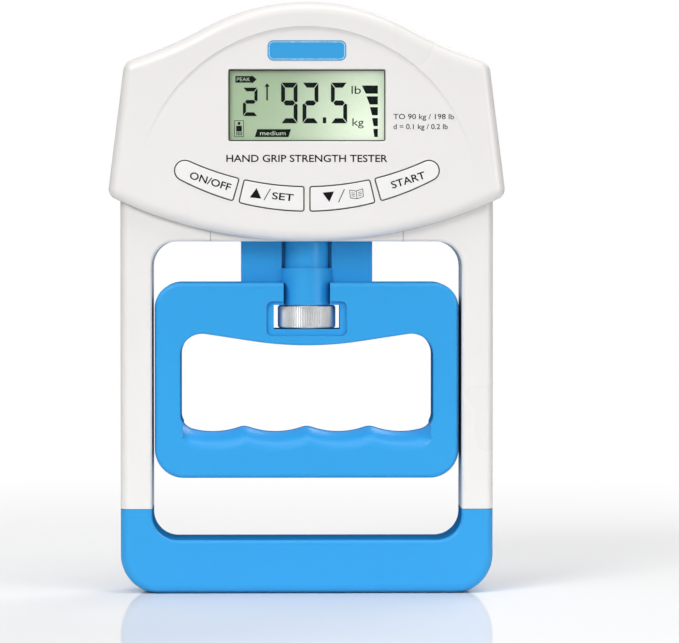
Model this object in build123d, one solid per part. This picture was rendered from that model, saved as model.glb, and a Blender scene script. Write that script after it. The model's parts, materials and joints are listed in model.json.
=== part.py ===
"""Electronic hand dynamometer: a stirrup frame with a display head, and a grip that pulls on a load cell.

The person holds the blue base of the frame in the palm and pulls the grip towards it with the fingers.
The grip hangs on an adjusting screw, which threads into a nut on a load cell inside the head.
The knurled wheel on that screw sets the hand span.

Frame: millimetres. +X to the right seen from the display side, +Y to the back, +Z up.
The origin is the centre of the flat underside of the base. Y = 0 is the plane of the adjusting screw.
"""

import os
from math import asin, cos, radians, sin, sqrt

from build123d import *

# ---------------------------------------------------------------- driving dimensions
WALL = 2.2  # moulded wall thickness
FRAME_FRONT, SEAM, FRAME_BACK = -12.0, -5.0, 12.0  # Y of the front face, shell seam and back face
GAP = 0.05  # clearance between parts that only rest against each other
SEAM_GAP = 0.15  # visible line between two shells

FRAME_W = 120.0  # across the two arms
BASE_CORNER_R = 12.5
BASE_H = 27.4  # height of the blue base shells
OPENING_W, OPENING_R = 99.7, 8.0
OPENING_LOW, OPENING_HIGH = 17.3, 113.5
ARM_X = (FRAME_W + OPENING_W) / 4  # centre line of an arm

HEAD_TOP = 190.2
HEAD_FRONT = -16.5
CROWN_R, CROWN_HALF = 68.5, 33.0  # convex arc over the top and its half width
SHOULDER_R, SHOULDER_X = 134.0, 56.0  # concave arc beside it and where it ends
SHOULDER_CORNER = (58.5, 170.9)
HIP_CORNER = (63.85, 128.3)
CHIN_R = 146.0  # arc of the head's lower edge
HEAD_EDGE_R = 3.5
BORDER_H, BORDER_FOOT, BORDER_HEAD = 1.2, 128.0, 186.0  # raised border: height, and Z where it starts and peaks
PANEL_R, PANEL_Z, PANEL_STEP = 57.0, 126.4, 2.6  # round recess inside the border
FRAME_EDGE_R, OPENING_EDGE_R, BACK_EDGE_R = 3.0, 1.2, 2.0

DISPLAY_W, DISPLAY_H, DISPLAY_Z = 50.3, 23.0, 157.1
BADGE_W, BADGE_H, BADGE_Z, BADGE_R = 25.1, 6.4, 174.6, 1.9

KEY_GAP = 0.38  # between a key and its opening
KEY_PROUD = 0.3
KEY_TOP_Z, KEY_TOP_R = 130.9, 92.0  # arc along the upper edges of the keys
KEY_LOW_Z, KEY_LOW_R = 123.4, 86.5  # arc along the lower edges
KEY_END_R = 3.09  # round outer end of the first and last key
KEY_SPLIT = ((23.0, 120.0), (18.1, 141.0))  # line between the inner and outer keys, inner side
KEY_OUTER_SIDE = ((25.8, 120.0), (18.6, 145.0))  # the outer key's side of that gap
KEY_SWITCHES = ((-31.5, 133.4), (-11.6, 128.0), (11.6, 128.0), (31.5, 133.4))

GRIP_W, GRIP_LOW, GRIP_HIGH = 98.0, 37.2, 100.3
GRIP_HALF_D = 10.0
GRIP_TOP_R, GRIP_LOW_R = 8.3, 9.3
GRIP_HOLE_HALF = 40.7
GRIP_EDGE_R, FINGER_EDGE_R = 1.5, 0.7
BAR_DROP, BAR_TOP = 6.5, 57.0  # rounding of the scalloped bar: fall from middle to face, and height it reaches
FINGER_PITCH, FINGER_CREST, FINGER_VALLEY = 20.3, 53.9, 51.85
BELLY_Z, BELLY_R, BELLY_HALF = 80.0, 114.0, 17.2  # sagging middle of the opening's top edge
WHEEL_SLOT_W, WHEEL_SLOT_LOW, WHEEL_SLOT_HIGH = 21.3, 85.2, 93.0
DISH_W, DISH_LOW, DISH_HIGH, DISH_D = 26.0, 83.0, 94.2, 1.2  # shallow dish around the wheel slot
NOTCH_W = 15.0  # cut in the grip's front above the wheel

STEM_R, STEM_SHOULDER_R = 7.3, 8.85
STEM_SHOULDER_Z, STEM_TOP = 104.8, 124.5
STEM_PLATE_W, STEM_PLATE_T, STEM_LOW = 42.5, 6.0, 94.0
RELIEF_W, RELIEF_D = 0.8, 1.8  # grooves that set the sleeve off from the plate
GUIDE_HALF, GUIDE_TOP, GUIDE_BACK = 30.9, 121.0, 8.0

WHEEL_R, WHEEL_TEETH, WHEEL_CLEAR = 9.35, 80, 0.25
SCREW_R, SCREW_LOW, SCREW_TOP = 3.0, 82.6, 148.8
SCREW_BORE_R = 3.05

BEAM_LOW, BEAM_HIGH, BEAM_HALF_D = 133.0, 144.0, 6.0
BEAM_LEFT, BEAM_RIGHT = -8.0, 50.0
BEAM_SCREW_X = (38.3, 46.3)
BRACKET_BACK = 8.5
NUT_R, NUT_FLANGE_R, NUT_FLANGE_T, NUT_GAP = 4.9, 6.5, 2.4, 0.6

BOARD_FRONT, BOARD_T = -9.9, 1.6
BOARD_HALF, BOARD_LOW, BOARD_HIGH = 36.0, 122.0, 172.0

CELL_R, CELL_LEN, CELL_PITCH = 5.25, 44.5, 10.6
CELL_Y, CELL_Z = 4.75, 169.65  # middle of the pair
BAY_W, BAY_LOW, BAY_HIGH, BAY_FLOOR, BAY_WALL = 51.0, 158.9, 180.4, -0.6, 1.8
TERMINAL_Z = (164.35, 174.95)  # solder tabs of the two separate contact plates
DOOR_W, DOOR_LOW, DOOR_HIGH, DOOR_LEDGE = 53.4, 157.7, 181.6, 10.2

HEAD_POCKET_R = 3.2  # pocket for a screw head in the back
HEAD_SCREWS = ((-57.3, 140.0), (57.3, 140.0), (-42.5, 168.5), (42.5, 168.5))
ARM_SCREWS = ((-ARM_X, 98.0), (ARM_X, 98.0), (-ARM_X, 42.0), (ARM_X, 42.0))
BASE_SCREWS = ((-ARM_X, 20.5), (ARM_X, 20.5), (-18.0, 8.7), (18.0, 8.7))
GRIP_SCREWS = ((-44.85, 90.0), (44.85, 90.0), (-44.85, 46.5), (44.85, 46.5))
BOARD_SCREWS = ((-32.0, 124.4), (32.0, 124.4), (-33.3, 168.0), (33.3, 168.0))
BRACKET_SCREWS = ((34.0, 129.6), (50.0, 129.6), (34.0, 147.4), (50.0, 147.4))
GUIDE_SCREWS = ((-26.0, 117.2), (26.0, 117.2))


# ---------------------------------------------------------------- helpers
def slab(face, front, back):
    """A face drawn in X and Z, made solid between two Y planes."""
    return extrude(Plane.XZ.offset(-back) * face, amount=back - front)


def peg(x, z, radius, front, back):
    """A round bar along Y."""
    return slab(Pos(x, z) * Circle(radius), front, back)


def pegs(places, radius, front, back):
    return [peg(x, z, radius, front, back) for x, z in places]


def post(x, y, radius, low, high):
    """A round bar along Z."""
    return Pos(x, y, (low + high) / 2) * Cylinder(radius, high - low)


def block(left, right, front, back, low, high):
    centre = ((left + right) / 2, (front + back) / 2, (low + high) / 2)
    return Pos(*centre) * Box(right - left, back - front, high - low)


def box_face(left, right, low, high):
    return Pos((left + right) / 2, (low + high) / 2) * Rectangle(right - left, high - low)


def edges_at_y(part, y):
    """Edges that lie wholly in one Y plane."""
    return part.edges().filter_by_position(Axis.Y, y - 0.01, y + 0.01)


def cross_screw(x, z, radius, head_r, tip, seat, head_t):
    """A pan-head screw along Y, its head at the back, with a cross recess."""
    shank = peg(x, z, radius, tip, seat)
    head = peg(x, z, head_r, seat, seat + head_t)
    head = chamfer(edges_at_y(head, seat + head_t), head_t * 0.4)
    slot = Rectangle(head_r * 1.15, head_r * 0.3)
    top, deep = seat + head_t, seat + head_t * 0.4
    slots = [slab(Pos(x, z) * Rotation(0, 0, turn) * slot, deep, top) for turn in (0, 90)]
    return shank + head - slots


# ---------------------------------------------------------------- outlines in the front view
def head_face():
    """Outline of the head: crowned top, sloping shoulders, slightly flared sides and a curved chin."""
    crown_z = HEAD_TOP - CROWN_R
    slope = asin(CROWN_HALF / CROWN_R)
    crown_end = (CROWN_HALF, crown_z + CROWN_R * cos(slope))
    centre = (crown_end[0] + SHOULDER_R * sin(slope), crown_end[1] + SHOULDER_R * cos(slope))
    end_slope = asin((centre[0] - SHOULDER_X) / SHOULDER_R)
    mid_slope = (slope + end_slope) / 2

    def on_shoulder(angle, side):
        return (side * (centre[0] - SHOULDER_R * sin(angle)), centre[1] - SHOULDER_R * cos(angle))

    hip = (HIP_CORNER[0], HIP_CORNER[1])
    chin = (0, OPENING_HIGH)
    with BuildSketch() as sketch:
        with BuildLine():
            ThreePointArc((-crown_end[0], crown_end[1]), (0, HEAD_TOP), crown_end)
            for side in (-1, 1):
                start = (side * crown_end[0], crown_end[1])
                ThreePointArc(start, on_shoulder(mid_slope, side), on_shoulder(end_slope, side))
                Polyline(
                    on_shoulder(end_slope, side),
                    (side * SHOULDER_CORNER[0], SHOULDER_CORNER[1]),
                    (side * hip[0], hip[1]),
                )
            ThreePointArc((-hip[0], hip[1]), chin, hip)
        make_face()
        corners = sketch.vertices().filter_by(lambda v: abs(abs(v.X) - SHOULDER_CORNER[0]) < 0.1)
        fillet(corners, 4.0)
        hips = sketch.vertices().filter_by(lambda v: abs(abs(v.X) - hip[0]) < 0.1)
        fillet(hips, 3.5)
    return sketch.sketch


def frame_face(top):
    """Outline of the stirrup frame up to a given height, with round lower corners."""
    face = box_face(-FRAME_W / 2, FRAME_W / 2, 0, top)
    return fillet(face.vertices().filter_by(lambda v: v.Y < 1), BASE_CORNER_R)


def opening_face(grow=0.0):
    height = OPENING_HIGH - OPENING_LOW
    middle = (OPENING_HIGH + OPENING_LOW) / 2
    return Pos(0, middle) * RectangleRounded(OPENING_W + 2 * grow, height + 2 * grow, OPENING_R + grow)


def chin_band(rise, bottom=OPENING_HIGH - 6):
    """Everything below the head's lower edge raised by rise."""
    radius = CHIN_R - rise
    disk = Pos(0, OPENING_HIGH + CHIN_R) * Circle(radius)
    return box_face(-70, 70, bottom - 150, OPENING_HIGH + 40) - disk


def display_face(grow=0.0):
    return Pos(0, DISPLAY_Z) * RectangleRounded(DISPLAY_W + 2 * grow, DISPLAY_H + 2 * grow, 0.6)


def key_band():
    """The curved strip that the four keys are cut from."""
    lower = Pos(0, KEY_LOW_Z + KEY_LOW_R) * Circle(KEY_LOW_R)
    upper = Pos(0, KEY_TOP_Z + KEY_TOP_R) * Circle(KEY_TOP_R)
    return lower - upper


def inner_key_face(side):
    """A key beside the middle: two straight sides and two arcs."""
    low, high = KEY_SPLIT
    cut = Polygon((1.15, low[1]), (1.15, high[1]), high, low, align=None)
    face = key_band() & cut
    face = fillet(face.vertices(), 0.5)
    return face if side > 0 else mirror(face, about=Plane.YZ)


def key_end_centre():
    """Centre of the round end, which touches the arcs above and below it."""
    low_c, top_c = KEY_LOW_Z + KEY_LOW_R, KEY_TOP_Z + KEY_TOP_R
    low_d, top_d = KEY_LOW_R - KEY_END_R, KEY_TOP_R + KEY_END_R
    z = (top_c**2 - low_c**2 - top_d**2 + low_d**2) / (2 * (top_c - low_c))
    return sqrt(low_d**2 - (z - low_c) ** 2), z


def outer_key_face(side):
    """A key at the end of the row, with a round outer end."""
    x, z = key_end_centre()
    low_c, top_c = KEY_LOW_Z + KEY_LOW_R, KEY_TOP_Z + KEY_TOP_R
    low_k, top_k = KEY_LOW_R / (KEY_LOW_R - KEY_END_R), KEY_TOP_R / (KEY_TOP_R + KEY_END_R)
    low_end = Vector(x * low_k, low_c + (z - low_c) * low_k)
    top_end = Vector(x * top_k, top_c + (z - top_c) * top_k)
    reach = (top_end - low_end) * 2
    ends = [(p.X, p.Y) for p in (top_end + reach, low_end - reach)]
    low, high = KEY_OUTER_SIDE
    face = key_band() & Polygon(low, high, *ends, align=None)
    face = fillet(face.vertices().filter_by(lambda v: v.X < 28), 0.5)
    face = face + Pos(x, z) * Circle(KEY_END_R)
    return face if side > 0 else mirror(face, about=Plane.YZ)


def key_faces():
    return (outer_key_face(-1), inner_key_face(-1), inner_key_face(1), outer_key_face(1))


def grip_outline():
    face = box_face(-GRIP_W / 2, GRIP_W / 2, GRIP_LOW, GRIP_HIGH)
    face = fillet(face.vertices().filter_by(lambda v: v.Y > GRIP_HIGH - 1), GRIP_TOP_R)
    return fillet(face.vertices().filter_by(lambda v: v.Y < GRIP_LOW + 1), GRIP_LOW_R)


def finger_hole():
    """The grip's hand opening: a sagging top edge and four finger scallops along the bottom."""
    half = GRIP_HOLE_HALF
    depth = FINGER_CREST - FINGER_VALLEY
    scallop_r = ((FINGER_PITCH / 2) ** 2 + depth**2) / (2 * depth)
    outer_valley = 1.5 * FINGER_PITCH
    wall_foot = FINGER_VALLEY + scallop_r - sqrt(scallop_r**2 - (half - outer_valley) ** 2)
    rise = BELLY_R - sqrt(BELLY_R**2 - BELLY_HALF**2)
    slope = BELLY_HALF / (BELLY_R - rise)
    belly_end = BELLY_Z + rise
    wall_head = belly_end + slope * (half - BELLY_HALF)
    with BuildSketch() as sketch:
        with BuildLine():
            ThreePointArc((-BELLY_HALF, belly_end), (0, BELLY_Z), (BELLY_HALF, belly_end))
            Polyline((BELLY_HALF, belly_end), (half, wall_head), (half, wall_foot))
            ThreePointArc((half, wall_foot), (outer_valley, FINGER_VALLEY), (FINGER_PITCH, FINGER_CREST))
            for crest in (FINGER_PITCH, 0):
                middle = (crest - FINGER_PITCH / 2, FINGER_VALLEY)
                ThreePointArc((crest, FINGER_CREST), middle, (crest - FINGER_PITCH, FINGER_CREST))
            ThreePointArc((-FINGER_PITCH, FINGER_CREST), (-outer_valley, FINGER_VALLEY), (-half, wall_foot))
            Polyline((-half, wall_foot), (-half, wall_head), (-BELLY_HALF, belly_end))
        make_face()
        fillet(sketch.vertices().filter_by(lambda v: v.Y > wall_head - 0.1), 7.0)
        fillet(sketch.vertices().filter_by(lambda v: abs(v.Y - wall_foot) < 0.05), 5.0)
        fillet(sketch.vertices().filter_by(lambda v: abs(v.Y - FINGER_CREST) < 0.05), 3.0)
    return sketch.sketch


# ---------------------------------------------------------------- white shells
def rear_outline():
    """Head and arms together, as the back shell sees them."""
    return head_face() + frame_face(OPENING_HIGH + 20)


def above_front():
    """Everything in front of the head's surface: flat below, then bowing forwards to the raised border."""
    bow_r = (BORDER_HEAD - BORDER_FOOT) ** 2 / (2 * BORDER_H) + BORDER_H / 2

    def bow(z):
        return HEAD_FRONT - bow_r + sqrt(bow_r**2 - (z - BORDER_FOOT) ** 2)

    foot, middle, top = (HEAD_FRONT, BORDER_FOOT), (bow(165), 165), (bow(200), 200)
    with BuildSketch(Plane.YZ) as sketch:
        with BuildLine():
            Polyline(top, (-30, top[1]), (-30, 90), (HEAD_FRONT, 90), foot)
            ThreePointArc(foot, middle, top)
        make_face()
    return extrude(sketch.sketch, amount=80, both=True)


def panel_recess():
    """Round cutter that leaves the flat panel and the soft step round it."""
    front = HEAD_FRONT - BORDER_H - 0.25
    inner, outer = (PANEL_R - PANEL_STEP, HEAD_FRONT), (PANEL_R, front)
    with BuildSketch(Plane.XY.offset(PANEL_Z)) as sketch:
        with BuildLine():
            Spline(inner, outer, tangents=((1, 0), (1, 0)))
            Polyline(outer, (PANEL_R, -25), (0, -25), (0, HEAD_FRONT), inner)
        make_face()
    return revolve(sketch.sketch, Axis((0, 0, PANEL_Z), (0, 1, 0)))


def front_cover():
    """The head's front: a shell that carries the display, the keys and the circuit board."""
    face = head_face()
    shell = slab(face, HEAD_FRONT - 2 * BORDER_H, SEAM - SEAM_GAP) - above_front()
    rim = [e for e in shell.edges() if e.position_at(0.5).Y < HEAD_FRONT + 0.01 and edge_on(e, face)]
    shell = fillet(rim, HEAD_EDGE_R) - panel_recess()
    shell -= slab(offset(face, -WALL), HEAD_FRONT + WALL, SEAM)
    over_arms = FRAME_W / 2 + 0.4
    shell -= block(-over_arms, over_arms, FRAME_FRONT - GAP, SEAM, OPENING_HIGH - 1, 135)
    shell += pegs(BOARD_SCREWS, 2.5, HEAD_FRONT + WALL - 0.1, BOARD_FRONT - GAP)
    shell -= pegs(BOARD_SCREWS, 1.05, HEAD_FRONT + WALL + 0.3, BOARD_FRONT)
    solid = slab(face, HEAD_FRONT + 1, SEAM - SEAM_GAP)
    shell += [p & solid for p in pegs(HEAD_SCREWS, 3.2, HEAD_FRONT + WALL - 0.1, SEAM)]
    shell -= pegs(HEAD_SCREWS, 1.55, HEAD_FRONT + WALL + 0.5, SEAM)
    shell -= slab(display_face(), HEAD_FRONT - 1, HEAD_FRONT + 2 * WALL)
    for key in key_faces():
        shell -= slab(offset(key, KEY_GAP), HEAD_FRONT - 1, HEAD_FRONT + 2 * WALL)
    shell = round_rims(shell)
    badge = Pos(0, BADGE_Z) * RectangleRounded(BADGE_W + 0.1, BADGE_H + 0.1, BADGE_R)
    return shell - slab(badge, HEAD_FRONT - 1, HEAD_FRONT + 0.5)


def round_rims(shell):
    """Small roundings where the panel meets the display window and the key openings."""
    front = edges_at_y(shell, HEAD_FRONT)
    window = [e for e in front if abs(e.center().X) < DISPLAY_W / 2 + 1 and e.center().Z > DISPLAY_Z - 12]
    window = [e for e in window if e.center().Z < DISPLAY_Z + 12]
    shell = fillet(window, 0.35)
    keys = [e for e in edges_at_y(shell, HEAD_FRONT) if abs(e.center().X) < 44 and 120 < e.center().Z < 142]
    return fillet(keys, 0.12)


def front_frame():
    """Front shells of the two arms. The stem guide sits in the gap between their upper ends."""
    face = frame_face(OPENING_HIGH + 30) - opening_face() & chin_band(3.5)
    solid = slab(face, FRAME_FRONT, SEAM - SEAM_GAP)
    solid = fillet([e for e in edges_at_y(solid, FRAME_FRONT) if on_opening(e)], OPENING_EDGE_R)
    sides = [e for e in edges_at_y(solid, FRAME_FRONT) if abs(e.center().X) > FRAME_W / 2 - 1]
    solid = fillet(sides, FRAME_EDGE_R)
    hollow = offset(frame_face(OPENING_HIGH + 30), -WALL) - opening_face(WALL) & chin_band(1.5)
    hollow -= box_face(-GUIDE_HALF - WALL, GUIDE_HALF + WALL, OPENING_HIGH - 5, OPENING_HIGH + 30)
    shell = solid - slab(hollow, FRAME_FRONT + WALL, SEAM)
    shell += [p & solid for p in pegs(ARM_SCREWS, 3.0, FRAME_FRONT + 1, SEAM)]
    shell -= pegs(ARM_SCREWS, 1.55, FRAME_FRONT + WALL, SEAM)
    half = GUIDE_HALF + SEAM_GAP
    shell -= block(-half, half, -20, 0, OPENING_HIGH - 5, OPENING_HIGH + 30)
    return shell - block(-70, 70, -20, 0, -1, BASE_H)


def rear_shell():
    """Back of the head and arms in one moulding, with the battery bay and all the screw posts."""
    outline = rear_outline() - opening_face()
    solid = slab(outline, SEAM, FRAME_BACK)
    solid = fillet([e for e in edges_at_y(solid, FRAME_BACK) if not on_opening(e)], BACK_EDGE_R)
    solid = fillet([e for e in edges_at_y(solid, FRAME_BACK) if on_opening(e)], OPENING_EDGE_R)
    hollow = offset(rear_outline(), -WALL) - opening_face(WALL)
    body = solid - slab(hollow, SEAM - 1, FRAME_BACK - WALL)
    guide_half = GUIDE_HALF + GAP
    body -= block(-guide_half, guide_half, SEAM - 1, GUIDE_BACK, OPENING_HIGH - 1, GUIDE_TOP)
    posts = pegs(HEAD_SCREWS + ARM_SCREWS, 3.9, SEAM, FRAME_BACK)
    posts += pegs(BRACKET_SCREWS, 3.0, BRACKET_BACK + GAP, FRAME_BACK - 1)
    posts += pegs(GUIDE_SCREWS, 2.8, GUIDE_BACK, FRAME_BACK - 1)
    half, low, high = BAY_W / 2 + BAY_WALL, BAY_LOW - BAY_WALL, BAY_HIGH + BAY_WALL
    posts.append(block(-half, half, BAY_FLOOR - 1.2, FRAME_BACK - 1, low, high))
    body += [p & solid for p in posts]
    body -= block(-BAY_W / 2, BAY_W / 2, BAY_FLOOR, FRAME_BACK + 1, BAY_LOW, BAY_HIGH)
    rebate = Pos(0, (DOOR_LOW + DOOR_HIGH) / 2) * RectangleRounded(DOOR_W, DOOR_HIGH - DOOR_LOW, 1.5)
    body -= slab(rebate, DOOR_LEDGE, FRAME_BACK + 1)
    body -= pegs(HEAD_SCREWS + ARM_SCREWS, HEAD_POCKET_R, FRAME_BACK - 3, FRAME_BACK + 1)
    body -= pegs(HEAD_SCREWS + ARM_SCREWS, 1.6, SEAM - 1, FRAME_BACK)
    body -= pegs(BRACKET_SCREWS, 1.3, 8, FRAME_BACK - 0.6)
    body -= pegs(GUIDE_SCREWS, 1.3, 7.5, FRAME_BACK - 0.6)
    body -= [terminal_slot(z) for z in TERMINAL_Z]
    body -= block(-70, 70, -20, 20, -1, BASE_H)
    return body + [base_tongue(side * ARM_X) for side in (-1, 1)]


def terminal_slot(z):
    """Slot in the floor of the battery bay for a contact plate's solder tab."""
    return block(-BAY_W / 2, -BAY_W / 2 + 0.6, BAY_FLOOR - 2, BAY_FLOOR + 1, z - 1.4, z + 1.4)


def base_tongue(x):
    """Tongue of the back shell that reaches down inside the base and takes one of its screws."""
    front, back = SEAM + 0.5, FRAME_BACK - WALL - 0.4
    tongue = block(x - 2.7, x + 2.7, front, back, 14.5, BASE_H + 2)
    tongue += block(x - 3.0, x + 3.0, front, FRAME_BACK - 1, BASE_H + GAP, 38.5)
    return tongue - peg(x, BASE_SCREWS[0][1], 1.7, SEAM, FRAME_BACK)


def on_opening(edge):
    """True for edges of the frame's hand opening."""
    low, high = OPENING_LOW - 0.5, OPENING_HIGH + 0.5
    return abs(edge.center().X) < OPENING_W / 2 + 0.5 and low < edge.center().Z < high


# ---------------------------------------------------------------- blue base
def base_shell(near, far, outer_r):
    """One half of the base, open at the seam. near is the seam's Y and far the outer face's Y."""
    front, back = min(near, far), max(near, far)
    outline = frame_face(BASE_H - SEAM_GAP) - opening_face()
    body = slab(outline, front, back)
    rim = [e for e in edges_at_y(body, far) if e.center().Z < BASE_H - 1]
    outer = [e for e in rim if not on_opening(e)]
    body = fillet(outer, outer_r)
    body = fillet([e for e in edges_at_y(body, far) if on_opening(e) and e.center().Z < BASE_H - 1], 1.2)
    hollow = offset(frame_face(BASE_H + 20), -WALL) - opening_face(WALL)
    inner = (near - 1, far - WALL) if far > near else (far + WALL, near + 1)
    return body - slab(hollow, *inner), body


def base_front_shell():
    shell, solid = base_shell(SEAM - SEAM_GAP, FRAME_FRONT, 3.0)
    shell += [p & solid for p in pegs(BASE_SCREWS, 3.0, FRAME_FRONT + 1, SEAM)]
    return shell - pegs(BASE_SCREWS, 1.55, FRAME_FRONT + 2.2, SEAM)


def base_rear_shell():
    shell, solid = base_shell(SEAM, FRAME_BACK, 3.0)
    through, beside_tongue = BASE_SCREWS[2:], BASE_SCREWS[:2]
    posts = pegs(through, 3.9, SEAM, FRAME_BACK) + pegs(beside_tongue, 3.9, FRAME_BACK - 2.5, FRAME_BACK)
    shell += [p & solid for p in posts]
    shell -= pegs(BASE_SCREWS, 3.2, FRAME_BACK - 1.7, FRAME_BACK + 1)
    shell -= pegs(through, 3.2, FRAME_BACK - 3, FRAME_BACK + 1)
    return shell - pegs(BASE_SCREWS, 1.6, SEAM - 1, FRAME_BACK)


def stem_guide():
    """The mouth under the head that the stem slides in."""
    body = block(-GUIDE_HALF, GUIDE_HALF, FRAME_FRONT, GUIDE_BACK - GAP, OPENING_HIGH, GUIDE_TOP - GAP)
    low_front = [e for e in edges_at_y(body, FRAME_FRONT) if abs(e.center().Z - OPENING_HIGH) < 0.1]
    body = fillet(low_front, OPENING_EDGE_R)
    body -= post(0, 0, STEM_R + 0.2, OPENING_HIGH - 1, GUIDE_TOP + 1)
    half_w, half_t = STEM_PLATE_W / 2 + 0.25, STEM_PLATE_T / 2 + 0.2
    body -= block(-half_w, half_w, -half_t, half_t, OPENING_HIGH - 1, GUIDE_TOP + 1)
    body -= pegs(GUIDE_SCREWS, 2.4, FRAME_FRONT + 4, 4.0)
    return body - pegs(GUIDE_SCREWS, 1.35, FRAME_FRONT + 4, 9)


# ---------------------------------------------------------------- display and keys
def badge_plate():
    face = Pos(0, BADGE_Z) * RectangleRounded(BADGE_W, BADGE_H, BADGE_R)
    return slab(face, HEAD_FRONT - 0.12, HEAD_FRONT + 0.45)


def display_window():
    return slab(display_face(-0.1), HEAD_FRONT + 0.35, HEAD_FRONT + 1.6)


def display_panel():
    return slab(Pos(0, DISPLAY_Z) * Rectangle(54.0, 27.4), HEAD_FRONT + 2.35, HEAD_FRONT + 4.5)


def display_gasket():
    """Thin foam frame between the window and the display glass."""
    outer = Pos(0, DISPLAY_Z) * RectangleRounded(DISPLAY_W - 0.3, DISPLAY_H - 0.3, 0.5)
    ring = outer - Pos(0, DISPLAY_Z) * Rectangle(DISPLAY_W - 0.8, DISPLAY_H - 0.8)
    return slab(ring, HEAD_FRONT + 1.65, HEAD_FRONT + 2.3)


def display_holder():
    outer = Pos(0, DISPLAY_Z) * RectangleRounded(57.6, 30.2, 1.0)
    ring = outer - Pos(0, DISPLAY_Z) * Rectangle(54.2, 27.6)
    return slab(ring, HEAD_FRONT + WALL + GAP, BOARD_FRONT - GAP)


def zebra_strips():
    """Two rubber connector strips between the display glass and the board."""
    front, back = HEAD_FRONT + 4.5 + GAP, BOARD_FRONT - GAP
    return [block(-25.5, 25.5, front, back, z - 1.1, z + 1.1) for z in (DISPLAY_Z - 12.2, DISPLAY_Z + 12.2)]


def main_board():
    face = box_face(-BOARD_HALF, BOARD_HALF, BOARD_LOW, BOARD_HIGH)
    corners = face.vertices().filter_by(lambda v: v.Y > BOARD_LOW + 1)
    board = slab(fillet(corners, 3.0), BOARD_FRONT, BOARD_FRONT + BOARD_T)
    return board - pegs(BOARD_SCREWS, 1.3, BOARD_FRONT - 1, BOARD_FRONT + BOARD_T + 1)


def chip_cap():
    """Round resin cap over the chip on the back of the board."""
    radius, height = 6.0, 1.5
    ball_r = (radius**2 + height**2) / (2 * height)
    ball = Pos(-14, BOARD_FRONT + BOARD_T + height - ball_r, 152) * Sphere(ball_r)
    return ball & block(-24, -4, BOARD_FRONT + BOARD_T + GAP, 0, 142, 162)


def switch_bodies():
    """Four square tact switches on the front of the board."""
    bodies = []
    for x, z in KEY_SWITCHES:
        body = block(x - 3, x + 3, BOARD_FRONT - 2.6, BOARD_FRONT - GAP, z - 3, z + 3)
        body = chamfer(body.edges().filter_by(Axis.Y), 0.5)
        bodies.append(body - peg(x, z, 1.6, BOARD_FRONT - 3, BOARD_FRONT - 1.3))
    return bodies


def key_cap(index):
    """A flush key with a flange behind the cover, so that it can't fall out."""
    face = key_faces()[index]
    cap = slab(face, HEAD_FRONT - KEY_PROUD, HEAD_FRONT + WALL + 0.5)
    cap = fillet(edges_at_y(cap, HEAD_FRONT - KEY_PROUD), 0.25)
    flange = slab(offset(face, KEY_GAP + 0.4), HEAD_FRONT + WALL + GAP, HEAD_FRONT + WALL + 0.9)
    return cap + flange


def key_plunger(index):
    """The switch's own plunger, which the key pushes."""
    x, z = KEY_SWITCHES[index]
    return peg(x, z, 1.5, HEAD_FRONT + WALL + 0.9 + GAP, BOARD_FRONT - 2.0)


# ---------------------------------------------------------------- grip, stem and adjusting screw
def stem_space(clear):
    """The room that the stem takes inside the grip."""
    half = STEM_PLATE_W / 2 + clear
    depth = STEM_PLATE_T / 2 + clear
    plate = block(-half, half, -depth, depth, STEM_LOW - clear, GRIP_HIGH + 5)
    return plate + post(0, 0, STEM_SHOULDER_R + clear, WHEEL_SLOT_HIGH - clear, GRIP_HIGH + 5)


def bar_rounding(sign):
    """Space over the rounded bar: the low part of the finger hole swept down a quarter ellipse."""
    half = GRIP_HOLE_HALF
    low = finger_hole() & box_face(-half - 1, half + 1, GRIP_LOW, BAR_TOP)
    low += box_face(-half + 0.7, half - 0.7, BAR_TOP - 1, BAR_TOP + BAR_DROP + 1)
    fall = EllipticalCenterArc((0, -BAR_DROP), GRIP_HALF_D, BAR_DROP, start_angle=90, arc_size=-90 * sign)
    return sweep(Plane.XZ * low, path=Plane.YZ * fall, normal=(0, 1, 0))


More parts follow.
